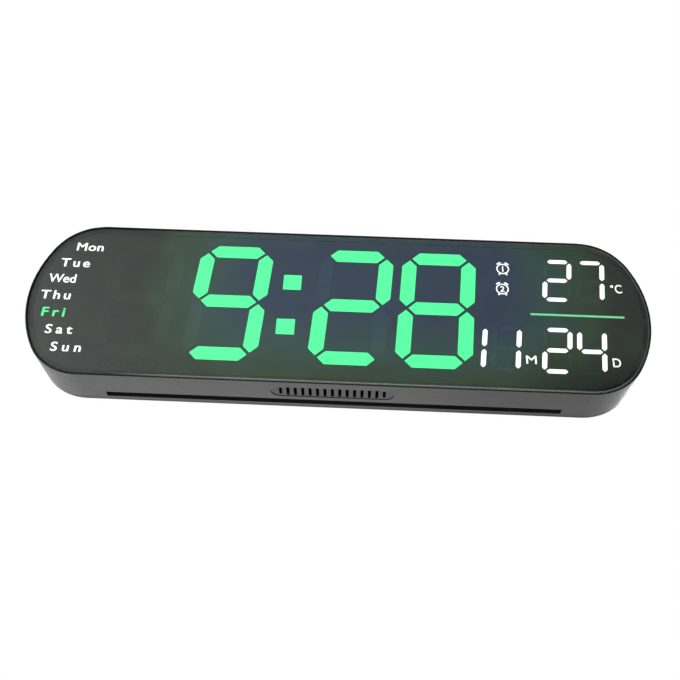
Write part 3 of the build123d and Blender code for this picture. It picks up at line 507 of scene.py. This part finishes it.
looks = {"housing": housing_plastic(), "smoked_panel": smoked_panel(), "board": solder_mask()}
for make, table in ((plastic, PLASTICS), (metal, METALS), (display_film, FILMS), (glow, LIGHTS)):
    for look, values in table.items():
        looks[look] = make(*values)
contact_gold = metal(*CONTACT_METAL)

for part in frame["record"]["subparts"]:
    look = OWN_LOOKS.get(part["node"], part["material_slot"])
    for slot in frame["nodes"][part["node"]].material_slots:
        slot.material = looks[look]

# Depths that the letters lie between: the front of the mask and the back of the panel
mask_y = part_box("display_mask")[0][1]
panel_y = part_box("front_panel")[1][1]
letter_t = (mask_y - panel_y) * LETTER_AIR_SHARE


def add_piece(name, mesh, material):
    """Finished mesh as a piece that rides on the housing."""
    piece = bpy.data.objects.new(name, mesh)
    bpy.context.scene.collection.objects.link(piece)
    piece.data.materials.append(material)
    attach(piece, "housing")


def embolden(mesh, weight):
    """Thicker letters: every outline moves outward along its own side walls, less so up and down."""
    shape = bmesh.new()
    shape.from_mesh(mesh)
    bmesh.ops.remove_doubles(shape, verts=shape.verts, dist=TEXT_WELD)
    shape.normal_update()
    moves = []
    for vertex in shape.verts:
        walls = {}
        for face in vertex.link_faces:
            walls[tuple(round(part, WALL_DIGITS) for part in face.normal)] = face.normal
        sides = [normal for normal in walls.values() if abs(normal.z) < WALL_TILT]
        outward = sum(sides, Vector()).normalized()
        sharpness = max(SHARPEST_CORNER, min((outward.dot(side) for side in sides), default=1))
        move = outward * weight / sharpness
        moves.append(Vector((move.x, move.y * WEIGHT_UP_SHARE, 0)))
    for vertex, move in zip(shape.verts, moves):
        vertex.co += move
    shape.to_mesh(mesh)
    shape.free()


def text_mesh(text, spacing, weight):
    """Word as a mesh one unit thick, in the plane of the text."""
    curve = bpy.data.curves.new(text, "FONT")
    curve.body = text
    curve.space_character = spacing
    curve.extrude = TEXT_HALF_T
    curve.resolution_u = TEXT_CURVE_STEPS
    word = bpy.data.objects.new(text, curve)
    bpy.context.scene.collection.objects.link(word)
    ready = word.evaluated_get(bpy.context.evaluated_depsgraph_get())
    mesh = bpy.data.meshes.new_from_object(ready)
    bpy.data.objects.remove(word)
    embolden(mesh, weight)
    return mesh


def flat_size(mesh):
    """Left, lower edge, width and height of a text mesh."""
    xs = [vertex.co.x for vertex in mesh.vertices]
    ys = [vertex.co.y for vertex in mesh.vertices]
    return min(xs), min(ys), max(xs) - min(xs), max(ys) - min(ys)


def fitted_word(text, left, low, width, height, weight):
    """Word spaced out to a box's proportions and laid on the mask."""
    spacing = TIGHT_SPACING
    if len(text) > 1:
        trials = (TIGHT_SPACING, LOOSE_SPACING)
        sizes = [flat_size(text_mesh(text, trial, weight)) for trial in trials]
        tight, loose = (text_w / text_h for _, _, text_w, text_h in sizes)
        missing = width / height / LETTER_WIDEN_SHARE - tight
        spacing += (LOOSE_SPACING - TIGHT_SPACING) * missing / (loose - tight)
        spacing = max(spacing, TIGHT_SPACING)
    mesh = text_mesh(text, spacing, weight)
    first_x, first_y, text_w, text_h = flat_size(mesh)
    for vertex in mesh.vertices:
        x = left + (vertex.co.x - first_x) / text_w * width
        z = low + (vertex.co.y - first_y) / text_h * height
        vertex.co = (x * MM, mask_y - (vertex.co.z + TEXT_HALF_T) * letter_t, z * MM)
    mesh.update()
    return mesh


def add_band(shape, x, z, inner, outer, start_deg=0, end_deg=FULL_TURN_DEG):
    """Flat band along an arc or all round, from an inner to an outer radius, as thick as the letters."""
    sweep = end_deg - start_deg
    is_ring = sweep == FULL_TURN_DEG
    steps = max(LEAST_ARC_STEPS, round(sweep / ARC_STEP_DEG))
    front_y = mask_y - letter_t
    corners = ((inner, mask_y), (outer, mask_y), (outer, front_y), (inner, front_y))
    rows = []
    for step in range(steps if is_ring else steps + 1):
        turn = math.radians(start_deg + sweep * step / steps)
        row = []
        for radius, y in corners:
            place = ((x + radius * math.cos(turn)) * MM, y, (z + radius * math.sin(turn)) * MM)
            row.append(shape.verts.new(place))
        rows.append(row)
    next_rows = rows[1:] + rows[:1] if is_ring else rows[1:]
    for row, following in zip(rows, next_rows):
        for side in range(len(corners)):
            after = (side + 1) % len(corners)
            shape.faces.new((row[side], row[after], following[after], following[side]))
    if not is_ring:
        shape.faces.new(rows[0][::-1])
        shape.faces.new(rows[-1])


def finished_shape(name, shape):
    """Mesh of a drawn shape, with its faces turned outward."""
    bmesh.ops.recalc_face_normals(shape, faces=shape.faces)
    mesh = bpy.data.meshes.new(name)
    shape.to_mesh(mesh)
    shape.free()
    return mesh


def alarm_sign(number, x, z):
    """Alarm clock sign: ring, bells, feet and the alarm's number."""
    shape = bmesh.new()
    add_band(shape, x, z, ALARM_R - ALARM_STROKE, ALARM_R)
    for start, end in BELL_ANGLES:
        add_band(shape, x, z, ALARM_R + BELL_GAP, ALARM_R + BELL_GAP + BELL_T, start, end)
    for start, end in FOOT_ANGLES:
        add_band(shape, x, z, ALARM_R - ALARM_STROKE / 2, ALARM_R + FOOT_L, start, end)
    glyph_w, glyph_h = flat_size(text_mesh(number, TIGHT_SPACING, ALARM_WEIGHT))[2:]
    number_w = ALARM_NUMBER_H * glyph_w / glyph_h
    left = x - number_w / 2
    low = z - ALARM_NUMBER_H / 2
    shape.from_mesh(fitted_word(number, left, low, number_w, ALARM_NUMBER_H, ALARM_WEIGHT))
    return finished_shape(f"alarm_sign_{number}", shape)


for word, (left, low, width, height) in WEEKDAYS.items():
    slot_name = "lit_green" if word == TODAY else "lit_white"
    mesh = fitted_word(word, left, low, width, height, WEEKDAY_WEIGHT)
    add_piece(f"weekday_{word.lower()}", mesh, looks[slot_name])

for letter, (left, low, width, height) in UNITS.items():
    mesh = fitted_word(letter, left, low, width, height, UNIT_WEIGHT)
    add_piece(f"unit_{letter.lower()}", mesh, looks["lit_white"])

degree = bmesh.new()
add_band(degree, *DEGREE_PLACE, DEGREE_HOLE_SHARE * DEGREE_R, DEGREE_R)
add_piece("unit_degree", finished_shape("unit_degree", degree), looks["lit_white"])

for number, (x, z) in ALARMS.items():
    add_piece(f"alarm_sign_{number}", alarm_sign(number, x, z), looks["lit_white"])


def contact_strips():
    """Row of gold strips half sunk in the socket's tongue, on its side towards the wall."""
    low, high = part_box("socket_tongue")
    strip_l = (high[0] - low[0]) * CONTACT_L_SHARE
    strip_w = (high[2] - low[2]) * CONTACT_W_SHARE
    pitch = (high[2] - low[2]) / CONTACT_COUNT
    shape = bmesh.new()
    for row in range(CONTACT_COUNT):
        middle = Vector((high[0] - strip_l / 2, high[1], low[2] + (row + 0.5) * pitch))
        size = Matrix.Diagonal((strip_l, 2 * CONTACT_T * MM, strip_w, 1))
        made = bmesh.ops.create_cube(shape, size=1, matrix=Matrix.Translation(middle) @ size)
        edges = list({edge for vertex in made["verts"] for edge in vertex.link_edges})
        bevel = CONTACT_T * MM / 2
        bmesh.ops.bevel(shape, geom=edges, offset=bevel, segments=CONTACT_BEVEL_STEPS, affect="EDGES")
    return finished_shape("socket_contacts", shape)


add_piece("socket_contacts", contact_strips(), contact_gold)


def floor_material():
    """Pale floor that is as light as the surroundings where it is seen, also in gloss and glass."""
    material = plastic(*FLOOR_PLASTIC)
    material.cycles.emission_sampling = "NONE"
    tree = material.node_tree
    shader = tree.nodes["Principled BSDF"]
    path = tree.nodes.new("ShaderNodeLightPath")
    strength = 0.0
    for ray in ("Is Camera Ray", "Is Glossy Ray", "Is Transmission Ray"):
        strength = switched(tree, path.outputs[ray], strength, FLOOR_GLOW)
    shader.inputs["Emission Color"].default_value = (1, 1, 1, 1)
    tree.links.new(strength, shader.inputs["Emission Strength"])
    return material


def add_floor():
    """Plain pale floor well under the clock."""
    shape = bmesh.new()
    bmesh.ops.create_grid(shape, x_segments=1, y_segments=1, size=FLOOR_SIDE / 2 * MM)
    mesh = bpy.data.meshes.new("floor")
    shape.to_mesh(mesh)
    shape.free()
    floor = bpy.data.objects.new("floor", mesh)
    floor.location = (0, 0, -FLOOR_DROP * MM)
    bpy.context.scene.collection.objects.link(floor)
    floor.data.materials.append(floor_material())


def add_lamp(name, place, size, power):
    """Square soft light turned to the middle of the clock."""
    data = bpy.data.lights.new(name, "AREA")
    data.size = size * MM
    data.energy = power
    lamp = bpy.data.objects.new(name, data)
    lamp.location = Vector(place) * MM
    lamp.rotation_euler = (-lamp.location).to_track_quat("-Z", "Y").to_euler()
    lamp.visible_camera = False
    bpy.context.scene.collection.objects.link(lamp)


def add_world():
    """White surroundings, softer as plain light, and dim on the room's side in reflections."""
    world = bpy.data.worlds.new("studio")
    world.use_nodes = True
    tree = world.node_tree
    background = tree.nodes["Background"]
    background.inputs["Color"].default_value = (1, 1, 1, 1)
    path = tree.nodes.new("ShaderNodeLightPath")
    towards = tree.nodes.new("ShaderNodeVectorMath")
    towards.operation = "DOT_PRODUCT"
    tree.links.new(tree.nodes.new("ShaderNodeTexCoord").outputs["Generated"], towards.inputs[0])
    towards.inputs[1].default_value = ROOM_SIDE
    room = between(tree, towards.outputs["Value"], ROOM_START, ROOM_END, WHITE_STRENGTH, ROOM_STRENGTH)
    strength = switched(tree, path.outputs["Is Glossy Ray"], PLAIN_STRENGTH, room)
    for ray in ("Is Camera Ray", "Is Transmission Ray"):
        strength = switched(tree, path.outputs[ray], strength, WHITE_STRENGTH)
    tree.links.new(strength, background.inputs["Strength"])
    bpy.context.scene.world = world


def add_camera():
    """Camera at the photograph's viewing angle."""
    data = bpy.data.cameras.new("camera")
    data.lens = CAMERA_LENS
    data.sensor_width = CAMERA_SENSOR
    camera = bpy.data.objects.new("camera", data)
    forward = Vector(CAMERA_FORWARD).normalized()
    right = forward.cross(Vector(CAMERA_UP)).normalized()
    turn = Matrix((right, right.cross(forward), -forward)).transposed()
    camera.matrix_world = Matrix.Translation(Vector(CAMERA_PLACE) * MM) @ turn.to_4x4()
    bpy.context.scene.collection.objects.link(camera)
    bpy.context.scene.camera = camera


add_floor()
for name, (place, size, power) in LAMPS.items():
    add_lamp(name, place, size, power)
add_world()
add_camera()
bpy.context.scene.view_settings.view_transform = "Standard"
